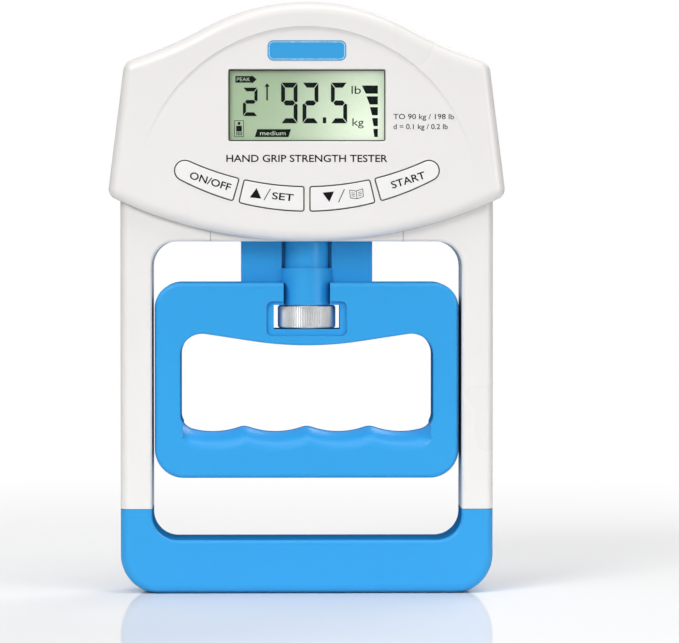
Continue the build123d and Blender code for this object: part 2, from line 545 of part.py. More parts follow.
def grip_half(sign):
    """One half of the grip. sign is -1 for the front and +1 for the back."""
    outline, hole = grip_outline(), finger_hole()
    slot = box_face(-WHEEL_SLOT_W / 2, WHEEL_SLOT_W / 2, WHEEL_SLOT_LOW, WHEEL_SLOT_HIGH)
    face = sign * GRIP_HALF_D
    near = sign * GAP / 2
    body = slab(outline - hole, min(face, near), max(face, near))
    body = fillet([e for e in edges_at_y(body, face) if edge_on(e, outline)], GRIP_EDGE_R)
    body = fillet([e for e in edges_at_y(body, face) if edge_on(e, hole)], FINGER_EDGE_R)
    body -= bar_rounding(sign)
    body -= slab(slot, -20, 20)
    dish = Pos(0, (DISH_LOW + DISH_HIGH) / 2) * RectangleRounded(DISH_W, DISH_HIGH - DISH_LOW, 2.0)
    deep = sign * (GRIP_HALF_D - DISH_D)
    body -= slab(dish, min(face, deep), max(face, deep))
    rim_low, rim_high = FINGER_VALLEY - WALL - BAR_DROP / 2, BELLY_Z + 7.1
    rim_w = 2 * (GRIP_HOLE_HALF + WALL)
    rim = Pos(0, (rim_low + rim_high) / 2) * RectangleRounded(rim_w, rim_high - rim_low, 5.0)
    hollow = offset(outline, -WALL) - rim
    hollow -= box_face(-WHEEL_SLOT_W / 2 - WALL, WHEEL_SLOT_W / 2 + WALL, BELLY_Z, GRIP_HIGH)
    inner = sign * (GRIP_HALF_D - WALL)
    keep = body
    body -= slab(hollow, min(inner, 0), max(inner, 0))
    body += [p & keep for p in pegs(GRIP_SCREWS, 3.3, -GRIP_HALF_D, GRIP_HALF_D)]
    body -= stem_space(0.05)
    body -= post(0, 0, SCREW_R + 0.2, SCREW_LOW - 0.3, WHEEL_SLOT_LOW + 1)
    if sign < 0:
        body -= block(-NOTCH_W / 2, NOTCH_W / 2, -20, 0, WHEEL_SLOT_HIGH - 1, GRIP_HIGH + 1)
        return body - pegs(GRIP_SCREWS, 1.3, -GRIP_HALF_D + 2.4, 1)
    body -= pegs(GRIP_SCREWS, 2.7, GRIP_HALF_D - 2.6, GRIP_HALF_D + 1)
    return body - pegs(GRIP_SCREWS, 1.35, -1, GRIP_HALF_D)


def edge_on(edge, outline):
    """True for an edge that follows the rim of an outline."""
    rim = outline.faces()[0].outer_wire()
    point = edge.position_at(0.5)
    return rim.distance_to(Vertex(point.X, point.Z, 0)) < 0.05


def handle_stem():
    """Round sleeve and flat guide plate in one moulding, clamped between the halves of the grip."""
    body = post(0, 0, STEM_R, WHEEL_SLOT_HIGH, STEM_TOP)
    body += post(0, 0, STEM_SHOULDER_R, WHEEL_SLOT_HIGH, STEM_SHOULDER_Z)
    half, depth = STEM_PLATE_W / 2, STEM_PLATE_T / 2
    plate = block(-half, half, -depth, depth, STEM_LOW, STEM_TOP)
    body += fillet(plate.edges().filter_by(Axis.Z), 0.6)
    for side in (-1, 1):
        left, right = sorted((side * 5.0, side * (STEM_R + RELIEF_W)))
        relief = block(left, right, -STEM_PLATE_T, RELIEF_D - depth, STEM_SHOULDER_Z, STEM_TOP + 1)
        body -= relief - post(0, 0, STEM_R, 90, STEM_TOP + 2)
    return body - post(0, 0, SCREW_R + 0.3, 90, STEM_TOP + 1)


def adjust_wheel():
    """Straight-knurled steel wheel, bevelled at both ends of the knurl."""
    low, high = WHEEL_SLOT_LOW + WHEEL_CLEAR, WHEEL_SLOT_HIGH - WHEEL_CLEAR
    tooth = 0.32
    points = []
    for i in range(WHEEL_TEETH):
        for share, radius in ((0.0, WHEEL_R - tooth), (0.5, WHEEL_R)):
            angle = radians(360 * (i + share) / WHEEL_TEETH)
            points.append((radius * cos(angle), radius * sin(angle)))
    knurl = Pos(0, 0, low) * extrude(Polygon(*points, align=None), amount=high - low)
    bevel = post(0, 0, WHEEL_R, low, high)
    bevel = chamfer(bevel.edges().filter_by(GeomType.CIRCLE), 0.5)
    return (knurl & bevel) - post(0, 0, SCREW_R + 0.02, low - 1, high + 1)


def adjust_screw():
    """M6 adjusting screw. The thread is drawn as closed grooves at the real pitch."""
    pitch, depth, thread_low = 1.0, 0.5, 110.0
    rod = post(0, 0, SCREW_R, SCREW_LOW, SCREW_TOP)
    rod = chamfer(rod.edges().filter_by(GeomType.CIRCLE), 0.5)
    groove = Polygon((SCREW_R + 0.01, -0.4), (SCREW_R + 0.01, 0.4), (SCREW_R - depth, 0.0), align=None)
    ring = revolve(Plane.XZ * groove, Axis.Z)
    count = int((SCREW_TOP - 1.0 - thread_low) / pitch)
    return rod - [Pos(0, 0, thread_low + i * pitch) * ring for i in range(count)]


# ---------------------------------------------------------------- load cell
def load_cell():
    """Aluminium bending beam, thinned by two joined holes where the strain gauges sit."""
    middle_z = (BEAM_LOW + BEAM_HIGH) / 2
    beam = block(BEAM_LEFT, BEAM_RIGHT, -BEAM_HALF_D, BEAM_HALF_D, BEAM_LOW, BEAM_HIGH)
    beam = chamfer(beam.edges().filter_by(Axis.X), 0.4)
    beam -= pegs(((15.0, middle_z), (25.0, middle_z)), 4.2, -7, 7)
    beam -= block(15, 25, -7, 7, middle_z - 1.5, middle_z + 1.5)
    beam -= post(0, 0, NUT_R + GAP, BEAM_LOW - 1, BEAM_HIGH + 1)
    return beam - pegs([(x, middle_z) for x in BEAM_SCREW_X], 2.05, -2, 7)


def strain_gauges():
    """Four gauges under resin, two on each face of the thinned part."""
    pads = []
    for x in (15.0, 25.0):
        for low in (BEAM_HIGH + 0.02, BEAM_LOW - 0.42):
            pads.append(block(x - 3, x + 3, -3.0, 3.0, low, low + 0.4))
    return pads


def load_cell_bracket():
    """Steel plate that ties the fixed end of the load cell to the back shell."""
    middle_z = (BEAM_LOW + BEAM_HIGH) / 2
    plate = slab(Pos(42.0, middle_z) * RectangleRounded(22.0, 24.0, 2.5), BEAM_HALF_D + GAP, BRACKET_BACK)
    plate -= pegs(BRACKET_SCREWS, 1.7, 5, 9)
    return plate - pegs([(x, middle_z) for x in BEAM_SCREW_X], 2.2, 5, 9)


def load_cell_screws():
    middle_z = (BEAM_LOW + BEAM_HIGH) / 2
    return [cross_screw(x, middle_z, 2.0, 3.4, -1.5, BRACKET_BACK + 0.02, 1.2) for x in BEAM_SCREW_X]


def bracket_screws():
    """Short screws, heads towards the display, through the bracket into the back shell."""
    screws = []
    for x, z in BRACKET_SCREWS:
        head = chamfer(edges_at_y(peg(x, z, 2.6, 4.4, 6.03), 4.4), 0.5)
        slots = [slab(Pos(x, z) * Rotation(0, 0, t) * Rectangle(3.0, 0.7), 4.4, 5.2) for t in (0, 90)]
        screws.append(peg(x, z, 1.25, 6.0, FRAME_BACK - 0.8) + head - slots)
    return screws


def load_nut():
    """Flanged brass nut that the adjusting screw threads into. Its flange bears on top of the load cell."""
    low = BEAM_HIGH + NUT_GAP
    nut = post(0, 0, NUT_R, BEAM_LOW + 0.1, low + 0.5) + post(0, 0, NUT_FLANGE_R, low, low + NUT_FLANGE_T)
    nut = chamfer(nut.edges().group_by(Axis.Z)[-1], 0.4)
    return nut - post(0, 0, SCREW_BORE_R, BEAM_LOW - 2, BEAM_HIGH + 8)


# ---------------------------------------------------------------- batteries
def battery(level, plus_side):
    """AAA cell along X with its raised positive cap."""
    z = CELL_Z + level * CELL_PITCH / 2
    body_len = CELL_LEN - 0.8
    can = Rotation(0, 90, 0) * Cylinder(CELL_R, body_len)
    can = fillet(can.edges(), 0.5)
    cap = Pos(plus_side * (body_len / 2 + 0.4), 0, 0) * Rotation(0, 90, 0) * Cylinder(1.9, 0.8)
    shift = plus_side * 2.2
    return Pos(shift, CELL_Y, z) * (can + cap)


def battery_springs():
    """Conical springs on the negative contacts."""
    springs = []
    for level, plus_side in ((1, 1), (-1, -1)):
        z = CELL_Z + level * CELL_PITCH / 2
        foot = -plus_side * (BAY_W / 2 - 0.75)
        coil = Helix(pitch=1.56, height=4.68, radius=3.2, cone_angle=-12, direction=(plus_side, 0, 0))
        wire = sweep(Plane(coil @ 0, z_dir=coil % 0) * Circle(0.3), path=coil)
        springs.append(Pos(foot, CELL_Y, z) * wire)
    return springs


def battery_plates():
    """Spring-steel contacts: one joins the cells in series, two have tabs for the leads."""
    low, high = BAY_LOW + 0.8, BAY_HIGH - 0.8
    outer, inner = BAY_W / 2 - 0.02, BAY_W / 2 - 0.42
    front, back = CELL_Y - 4.2, CELL_Y + 3.8
    plates = [block(inner, outer, front, back, low, high)]
    for z in TERMINAL_Z:
        plate = block(-outer, -inner, front, back, z - 4.4, z + 4.4)
        plates.append(plate + block(-outer, -inner, BAY_FLOOR - 2.2, front, z - 1.1, z + 1.1))
    return plates


def battery_door():
    """Snap-in door with a finger recess, latch tongue and two hooks."""
    width, height = DOOR_W - 0.4, DOOR_HIGH - DOOR_LOW - 0.4
    middle = (DOOR_LOW + DOOR_HIGH) / 2
    door = slab(Pos(0, middle) * RectangleRounded(width, height, 1.4), DOOR_LEDGE + GAP, FRAME_BACK)
    door = chamfer(edges_at_y(door, FRAME_BACK), 0.25)
    for i in range(5):
        x = (i - 2) * 2.2
        door -= block(x - 0.4, x + 0.4, FRAME_BACK - 0.5, FRAME_BACK + 1, DOOR_HIGH - 6.2, DOOR_HIGH - 2.4)
    return door


def lead(points, radius=0.55):
    """An insulated wire along a smooth path."""
    path = Spline(*points)
    return sweep(Plane(path @ 0, z_dir=path % 0) * Circle(radius), path=path)


def battery_leads():
    """Two wires from the contact tabs to the back of the board."""
    tab_y, board_y = BAY_FLOOR - 1.7, BOARD_FRONT + BOARD_T + 0.35
    leads = []
    for z in TERMINAL_Z:
        start, bend = (-24.3, tab_y, z), (-24.9, tab_y - 2.2, z - 1.2)
        leads.append(lead([start, bend, (-27.0, tab_y - 3.6, z - 2.8), (-28.4, board_y, z - 4.0)]))
    return leads


def load_cell_leads():
    """Four thin wires from the strain gauges to the back of the board."""
    board_y = BOARD_FRONT + BOARD_T + 0.3
    leads = []
    for i, y in enumerate((-1.8, -0.6, 0.6, 1.8)):
        start, rise = (21.0, y, BEAM_HIGH + 0.5), (21.0 + i, y - 0.6, 147.0)
        end = (19.0 + 1.8 * i, board_y, 152.0)
        leads.append(lead([start, rise, (20.5 + 1.6 * i, -5.6, 151.0), end], 0.3))
    return leads


# ---------------------------------------------------------------- fasteners
def rear_screws():
    places = HEAD_SCREWS + ARM_SCREWS
    tips = [HEAD_FRONT + WALL + 1.5] * len(HEAD_SCREWS) + [FRAME_FRONT + 2.6] * len(ARM_SCREWS)
    return [cross_screw(x, z, 1.5, 2.8, tip, FRAME_BACK - 2.98, 1.9) for (x, z), tip in zip(places, tips)]


def base_screws():
    seats = [FRAME_BACK - 1.68] * 2 + [FRAME_BACK - 2.98] * 2
    heads = [1.4] * 2 + [1.9] * 2
    return [
        cross_screw(x, z, 1.5, 2.8, FRAME_FRONT + 2.6, seat, head)
        for (x, z), seat, head in zip(BASE_SCREWS, seats, heads)
    ]


def grip_screws():
    tip, seat = -GRIP_HALF_D + 2.8, GRIP_HALF_D - 2.58
    return [cross_screw(x, z, 1.25, 2.3, tip, seat, 1.7) for x, z in GRIP_SCREWS]


def board_screws():
    back = BOARD_FRONT + BOARD_T + 0.02
    return [cross_screw(x, z, 1.0, 1.9, HEAD_FRONT + WALL + 0.8, back, 1.1) for x, z in BOARD_SCREWS]


def guide_screws():
    """Screws from inside the guide's pockets into the back shell, heads towards the front."""
    screws = []
    for x, z in GUIDE_SCREWS:
        head = chamfer(edges_at_y(peg(x, z, 2.2, 2.3, 3.98), 2.3), 0.4)
        screws.append(peg(x, z, 1.2, 3.9, FRAME_BACK - 0.8) + head)
    return screws


# ---------------------------------------------------------------- build
KEY_NAMES = ("on", "up", "down", "start")

PARTS = {
    "front_cover": front_cover,
    "front_frame": front_frame,
    "rear_shell": rear_shell,
    "base_front_shell": base_front_shell,
    "base_rear_shell": base_rear_shell,
    "stem_guide": stem_guide,
    "badge_plate": badge_plate,
    "display_window": display_window,
    "display_panel": display_panel,
    "display_gasket": display_gasket,
    "display_holder": display_holder,
    "zebra_strips": zebra_strips,
    "main_board": main_board,
    "chip_cap": chip_cap,
    "switch_bodies": switch_bodies,
    "grip_front": lambda: grip_half(-1),
    "grip_rear": lambda: grip_half(1),
    "handle_stem": handle_stem,
    "adjust_wheel": adjust_wheel,
    "adjust_screw": adjust_screw,
    "load_cell": load_cell,
    "strain_gauges": strain_gauges,
    "load_cell_bracket": load_cell_bracket,
    "load_cell_screws": load_cell_screws,
    "bracket_screws": bracket_screws,
    "load_nut": load_nut,
    "battery_upper": lambda: battery(1, 1),
    "battery_lower": lambda: battery(-1, -1),
    "battery_springs": battery_springs,
    "battery_plates": battery_plates,
    "battery_door": battery_door,
    "battery_leads": battery_leads,
    "load_cell_leads": load_cell_leads,
    "rear_screws": rear_screws,
    "base_screws": base_screws,
    "grip_screws": grip_screws,
    "board_screws": board_screws,
    "guide_screws": guide_screws,
}
for number, key_name in enumerate(KEY_NAMES):
    PARTS[f"key_{key_name}"] = lambda n=number: key_cap(n)
    PARTS[f"plunger_{key_name}"] = lambda n=number: key_plunger(n)

os.makedirs("parts", exist_ok=True)
for node, make in PARTS.items():
    shape = make()
    if isinstance(shape, list):
        shape = Compound(children=[solid for piece in shape for solid in piece.solids()])
    export_step(shape, f"parts/{node}.step")
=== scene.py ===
"""Looks of the hand dynamometer: moulded plastic, steel, a reflective LCD, printed legends, floor and studio light."""

import json
from math import cos, radians, sin

import bmesh
import bpy
from mathutils import Euler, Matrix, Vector


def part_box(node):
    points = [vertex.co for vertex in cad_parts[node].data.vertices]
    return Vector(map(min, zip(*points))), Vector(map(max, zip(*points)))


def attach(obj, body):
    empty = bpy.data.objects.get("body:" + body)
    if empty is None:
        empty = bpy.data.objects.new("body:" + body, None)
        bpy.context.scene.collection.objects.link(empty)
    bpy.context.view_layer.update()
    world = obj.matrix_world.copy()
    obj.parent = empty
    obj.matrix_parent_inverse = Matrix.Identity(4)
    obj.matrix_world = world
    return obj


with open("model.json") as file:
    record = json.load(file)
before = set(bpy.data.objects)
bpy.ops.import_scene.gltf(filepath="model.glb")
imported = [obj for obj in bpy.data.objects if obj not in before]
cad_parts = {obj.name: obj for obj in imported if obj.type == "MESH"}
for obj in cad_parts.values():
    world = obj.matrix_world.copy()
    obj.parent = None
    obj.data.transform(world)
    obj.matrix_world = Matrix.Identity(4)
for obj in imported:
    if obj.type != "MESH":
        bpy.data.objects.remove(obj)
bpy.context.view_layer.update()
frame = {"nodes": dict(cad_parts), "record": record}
MM = 0.001
INK_DEPTH = 0.03  # thickness of a printed film
EMBED = 0.02  # how far a print sinks into the surface below it


# ---------------------------------------------------------------- material graphs
class Graph:
    """A material's node tree, with short calls for the nodes used here."""

    def __init__(self, name):
        self.material = bpy.data.materials.new(name)
        self.material.use_nodes = True
        self.tree = self.material.node_tree
        self.tree.nodes.clear()
        self.point = self.add("ShaderNodeTexCoord", out="Object")

    def add(self, kind, inputs=None, out=0, **settings):
        node = self.tree.nodes.new(kind)
        for key, value in settings.items():
            setattr(node, key, value)
        for key, value in (inputs or {}).items():
            if isinstance(value, bpy.types.NodeSocket):
                self.tree.links.new(value, node.inputs[key])
            else:
                node.inputs[key].default_value = value
        return node.outputs[out]

    def stretched(self, scale):
        return self.add("ShaderNodeMapping", {"Vector": self.point, "Scale": scale})

    def noise(self, scale, detail=2.0, vector=None):
        inputs = {"Vector": vector or self.point, "Scale": scale, "Detail": detail}
        return self.add("ShaderNodeTexNoise", inputs)

    def ramp(self, value, low, high, to_low=0.0, to_high=1.0):
        inputs = {"Value": value, "From Min": low, "From Max": high, "To Min": to_low, "To Max": to_high}
        return self.add("ShaderNodeMapRange", inputs, interpolation_type="SMOOTHSTEP")

    def math(self, operation, a, b=0.0):
        return self.add("ShaderNodeMath", {0: a, 1: b}, operation=operation)

    def mix(self, factor, a, b):
        return self.add("ShaderNodeMix", {0: factor, 6: a, 7: b}, out=2, data_type="RGBA")

    def axis(self, name):
        return self.add("ShaderNodeSeparateXYZ", {"Vector": self.point}, out=name)

    def edge(self, radius):
        """1 on sharp edges, 0 on flat areas."""
        bent = self.add("ShaderNodeBevel", {"Radius": radius}, samples=4)
        true = self.add("ShaderNodeNewGeometry", out="Normal")
        apart = self.add("ShaderNodeVectorMath", {0: bent, 1: true}, out="Value", operation="DISTANCE")
        return self.ramp(apart, 0.08, 0.7)

    def crevice(self, distance):
        """1 deep in a gap, 0 in the open."""
        open_share = self.add("ShaderNodeAmbientOcclusion", {"Distance": distance}, out="AO", samples=8)
        return self.ramp(open_share, 0.66, 0.14)

    def bump(self, height, strength, distance):
        return self.add("ShaderNodeBump", {"Height": height, "Strength": strength, "Distance": distance})

    def surface(self, inputs):
        shader = self.add("ShaderNodeBsdfPrincipled", inputs, out="BSDF")
        self.add_output(shader)
        return self.material

    def add_output(self, shader):
        output = self.tree.nodes.new("ShaderNodeOutputMaterial")
        self.tree.links.new(shader, output.inputs["Surface"])


def shade(colour, factor):
    return tuple(min(1.0, c * factor) for c in colour[:3]) + (1.0,)


def plastic(name, colour, roughness=0.3, gloss=0.5, grain=0.02, crevice_shade=0.6, wear=0.18, rim_shade=0.5):
    """Moulded plastic: slow colour drift, fine texture, rubbed edges, painted shade in the gaps and painted shade on
    surfaces seen edge-on.
    """
    g = Graph(name)
    facing = g.add("ShaderNodeLayerWeight", out="Facing")
    drift = g.ramp(g.noise(22.0, 1.0), 0.2, 0.8)
    tone = g.mix(drift, shade(colour, 0.99), shade(colour, 1.005))
    rub = g.math("MULTIPLY", g.edge(0.0005), g.ramp(g.noise(260.0, 2.0), 0.35, 0.7, 0.05, wear))
    pale = tuple(0.75 * c + 0.25 for c in colour[:3]) + (1.0,)
    tone = g.mix(rub, tone, pale)
    # painted shade: the colour is darkened where ambient occlusion finds a gap or recess close by
    gap_shade = g.math("MULTIPLY", g.crevice(0.0022), crevice_shade)
    tone = g.mix(gap_shade, tone, shade(colour, 0.07))
    # painted shade: the colour is darkened where the surface is seen at a grazing angle, a dark outline along edges
    # and inner walls
    tone = g.mix(g.ramp(facing, 0.72, 0.98, 0.0, rim_shade), tone, shade(colour, 0.25))
    smear = g.ramp(g.noise(24.0, 1.0), 0.2, 0.8, roughness - 0.01, roughness + 0.015)
    rough = g.math("ADD", smear, g.math("MULTIPLY", rub, 0.2))
    texture = g.bump(g.noise(2400.0, 2.0), grain, 0.00005)
    sheen = g.ramp(facing, 0.35, 0.85, gloss, 0.0)
    return g.surface({"Base Color": tone, "Roughness": rough, "Normal": texture, "Specular IOR Level": sheen})


def metal(name, colour, roughness=0.3, stretch=(1.0, 1.0, 1.0), scratch=0.25, crevice_shade=0.5, root=0.001):
    """Machined metal: fine directional scratches, stains and painted shade in the roots."""
    g = Graph(name)
    lines = g.noise(900.0, 4.0, g.stretched(stretch))
    stain = g.ramp(g.noise(120.0, 4.0), 0.35, 0.7)
    tone = g.mix(stain, shade(colour, 0.88), shade(colour, 1.06))
    tone = g.mix(g.ramp(lines, 0.35, 0.75, 0.0, 0.3), tone, shade(colour, 0.72))
    tone = g.mix(g.math("MULTIPLY", g.edge(0.0003), 0.4), tone, shade(colour, 1.35))
    # painted shade: the colour is darkened where ambient occlusion finds geometry close by, in the roots
    tone = g.mix(g.math("MULTIPLY", g.crevice(root), crevice_shade), tone, shade(colour, 0.12))
    rough = g.ramp(lines, 0.3, 0.7, roughness - 0.08, roughness + 0.12)
    texture = g.bump(lines, scratch, 0.00003)
    return g.surface({"Base Color": tone, "Metallic": 1.0, "Roughness": rough, "Normal": texture})


def rubber(name, colour, roughness=0.7):
    g = Graph(name)
    tone = g.mix(g.ramp(g.noise(300.0, 4.0), 0.35, 0.7), shade(colour, 0.8), shade(colour, 1.25))
    tone = g.mix(g.math("MULTIPLY", g.edge(0.0003), 0.25), tone, shade(colour, 1.8))
    texture = g.bump(g.noise(3800.0, 3.0), 0.3, 0.00005)
    rough = g.ramp(g.noise(200.0, 3.0), 0.3, 0.7, roughness - 0.1, roughness + 0.1)
    return g.surface({"Base Color": tone, "Roughness": rough, "Normal": texture})


def circuit_board(name, colour):
    """Green solder mask over faint copper tracks."""
    g = Graph(name)
    wave = g.add("ShaderNodeTexWave", {"Vector": g.point, "Scale": 130.0, "Distortion": 6.0}, bands_direction="DIAGONAL")
    track = g.ramp(wave, 0.55, 0.62)
    tone = g.mix(track, shade(colour, 0.9), shade(colour, 1.7))
    tone = g.mix(g.ramp(g.noise(80.0, 3.0), 0.3, 0.7, 0.0, 0.3), tone, shade(colour, 0.6))
    texture = g.bump(track, 0.25, 0.00003)
    return g.surface({"Base Color": tone, "Roughness": 0.32, "Normal": texture})


def cell_jacket(name, colour):
    """Printed film on a dry cell, bare steel at both ends."""
    g = Graph(name)
    low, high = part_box("battery_upper")
    bare = g.ramp(g.math("ABSOLUTE", g.axis("X")), high.x - 0.0016, high.x - 0.0014)
    band = g.ramp(g.math("ABSOLUTE", g.math("SUBTRACT", g.axis("X"), low.x * 0.45)), 0.0030, 0.0029)
    film = g.mix(band, shade(colour, 1.0), (0.42, 0.43, 0.45, 1.0))
    film = g.mix(g.ramp(g.noise(150.0, 4.0), 0.35, 0.7, 0.0, 0.35), film, shade(colour, 1.6))
    tone = g.mix(bare, film, (0.62, 0.62, 0.64, 1.0))
    rough = g.ramp(g.noise(400.0, 3.0), 0.3, 0.7, 0.22, 0.36)
    texture = g.bump(g.noise(2200.0, 2.0), 0.1, 0.00003)
    return g.surface({"Base Color": tone, "Metallic": bare, "Roughness": rough, "Normal": texture})


def lcd_glass(name, colour):
    """Reflective LCD with painted light: grey-green at the left, washed out to pale green at the right as by the
    studio light, painted shade towards the top and a faint painted glow.
    """
    g = Graph(name)
    low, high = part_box("display_window")
    # painted light: the screen gets brighter from left to right
    across = g.ramp(g.axis("X"), low.x, high.x)
    across = g.math("ADD", across, g.ramp(g.noise(26.0, 2.0), 0.3, 0.7, -0.06, 0.06))
    # painted shade: the screen gets darker towards the top of the window
    rise = g.ramp(g.axis("Z"), low.z, high.z, 0.08, -0.08)
    across = g.math("POWER", g.math("ADD", across, rise), 1.5)
    tone = g.mix(across, shade(colour, 0.95), (0.80, 0.88, 0.73, 1.0))
    film = g.ramp(g.noise(2600.0, 2.0), 0.4, 0.7, 0.0, 0.12)
    tone = g.mix(film, tone, shade(colour, 0.8))
    texture = g.bump(g.noise(4200.0, 2.0), 0.08, 0.00002)
    rough = g.ramp(g.noise(60.0, 3.0), 0.3, 0.7, 0.30, 0.42)
    # painted glow: an emission in the screen's own colour, stronger towards the right
    return g.surface({"Base Color": tone, "Roughness": rough, "Normal": texture,
                      "Emission Color": tone, "Emission Strength": g.ramp(across, 0.0, 1.0, 0.07, 0.27)})


def clear_window(name):
    """Clear cover: mostly see-through, with a mirror layer that grows towards grazing angles and faint smears."""
    g = Graph(name)
    smear = g.ramp(g.noise(70.0, 5.0), 0.4, 0.7, 0.03, 0.09)
    tint = g.mix(g.ramp(g.noise(40.0, 2.0), 0.3, 0.7), (0.955, 0.97, 0.955, 1.0), (0.985, 0.99, 0.985, 1.0))
    clear = g.add("ShaderNodeBsdfTransparent", {"Color": tint}, out="BSDF")
    mirror = g.add("ShaderNodeBsdfGlossy", {"Color": (1.0, 1.0, 1.0, 1.0), "Roughness": smear}, out="BSDF")
    share = g.math("MULTIPLY", g.add("ShaderNodeFresnel", {"IOR": 1.3}), 0.2)
    g.add_output(g.add("ShaderNodeMixShader", {0: share, 1: clear, 2: mirror}, out=0))
    return g.material


def ink(name, colour, roughness=0.4):
    """Printed film: slightly uneven density."""
    g = Graph(name)
    tone = g.mix(g.ramp(g.noise(900.0, 4.0), 0.35, 0.7), shade(colour, 0.8), shade(colour, 1.35))
    rough = g.ramp(g.noise(700.0, 3.0), 0.3, 0.7, roughness - 0.08, roughness + 0.08)
    texture = g.bump(g.noise(5000.0, 2.0), 0.1, 0.00002)
    return g.surface({"Base Color": tone, "Roughness": rough, "Normal": texture, "Specular IOR Level": 0.12})


# ---------------------------------------------------------------- mesh helpers, all sizes in mm
def new_piece(name, bm, body, material):
    bmesh.ops.recalc_face_normals(bm, faces=bm.faces)
    mesh = bpy.data.meshes.new(name)
    bm.to_mesh(mesh)
    bm.free()
    mesh.materials.append(material)
    piece = bpy.data.objects.new(name, mesh)
    bpy.context.scene.collection.objects.link(piece)
    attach(piece, body)
    return piece


def prism(bm, outline, front, depth):
    """A closed flat solid: an outline in X and Z between the planes Y = front and Y = front + depth."""
    near = [bm.verts.new((x * MM, front * MM, z * MM)) for x, z in outline]
    far = [bm.verts.new((x * MM, (front + depth) * MM, z * MM)) for x, z in outline]
    bm.faces.new(near)
    bm.faces.new(far[::-1])
    for i in range(len(outline)):
        j = (i + 1) % len(outline)
        bm.faces.new((near[j], near[i], far[i], far[j]))


def band(bm, outer, inner, front, depth):
    """A closed flat ring between two outlines with the same number of points."""
    rows = []
    for outline, y in ((outer, front), (inner, front), (inner, front + depth), (outer, front + depth)):
        rows.append([bm.verts.new((x * MM, y * MM, z * MM)) for x, z in outline])
    count = len(outer)
    for k in range(4):
        a, b = rows[k], rows[(k + 1) % 4]
        for i in range(count):
            j = (i + 1) % count
            bm.faces.new((a[i], a[j], b[j], b[i]))


def arc_points(x, z, radius, start=0.0, end=360.0, count=40):
    step = (end - start) / count
    return [(x + radius * cos(radians(start + i * step)), z + radius * sin(radians(start + i * step)))
            for i in range(count)]


def rounded_box(x, z, width, height, radius, count=8):
    half_w, half_h = width / 2 - radius, height / 2 - radius
    points = []
    for sx, sz, start in ((1, 1, 0), (-1, 1, 90), (-1, -1, 180), (1, -1, 270)):
        for i in range(count + 1):
            angle = radians(start + 90 * i / count)
            points.append((x + sx * half_w + radius * cos(angle), z + sz * half_h + radius * sin(angle)))
    return points


def line(start, end, width):
    """A straight stroke as a thin four-sided outline."""
    along = Vector(end) - Vector(start)
    side = Vector((-along.y, along.x)).normalized() * (width / 2)
    a, b = Vector(start), Vector(end)
    return [tuple(a + side), tuple(b + side), tuple(b - side), tuple(a - side)]


def turned(outline, angle, centre):
    """An outline turned by angle degrees about a centre."""
    c, s = cos(radians(angle)), sin(radians(angle))
    out = []
    for x, z in outline:
        dx, dz = x - centre[0], z - centre[1]
        out.append((centre[0] + c * dx - s * dz, centre[1] + s * dx + c * dz))
    return out


def flat_piece(name, outlines, front, body, material, depth=INK_DEPTH + EMBED):
    bm = bmesh.new()
    for outline in outlines:
        prism(bm, outline, front, depth)
    return new_piece(name, bm, body, material)


def text_mesh(text, weight):
    """The outlines of a line of text as a closed mesh, 1 unit deep in Z, drawn at font size 1."""
    curve = bpy.data.curves.new("lettering", "FONT")
    curve.body = text
    curve.extrude = 0.5
    curve.offset = weight
    curve.resolution_u = 4
    holder = bpy.data.objects.new("lettering", curve)
    bpy.context.scene.collection.objects.link(holder)
    bpy.context.view_layer.update()
    graph = bpy.context.evaluated_depsgraph_get()
    mesh = bpy.data.meshes.new_from_object(holder.evaluated_get(graph))
    bpy.data.objects.remove(holder)
    bpy.data.curves.remove(curve)
    bm = bmesh.new()
    bm.from_mesh(mesh)
    bpy.data.meshes.remove(mesh)
    bmesh.ops.remove_doubles(bm, verts=bm.verts, dist=0.0004)
    return bm


def span(bm, axis):
    values = [v.co[axis] for v in bm.verts]
    return min(values), max(values)


def cap_height(weight):
    bm = text_mesh("H", weight)
    low, high = span(bm, 1)
    bm.free()
    return low, high


def lettering(name, text, centre, height, width, front, body, material, turn=0.0, weight=0.0):
    """Printed text: capitals as high as height, the whole line as wide as width, centred in X and Z."""
    bm = text_mesh(text, weight)
    left, right = span(bm, 0)
    base, top = cap_height(weight)
    wide, high = width / (right - left), height / (top - base)
    c, s = cos(radians(turn)), sin(radians(turn))
    for v in bm.verts:
        x = (v.co.x - (left + right) / 2) * wide
        z = (v.co.y - (base + top) / 2) * high
        y = front + (0.5 - v.co.z) * (INK_DEPTH + EMBED)
        v.co = Vector((centre[0] + c * x - s * z, y, centre[1] + s * x + c * z)) * MM
    return new_piece(name, bm, body, material)


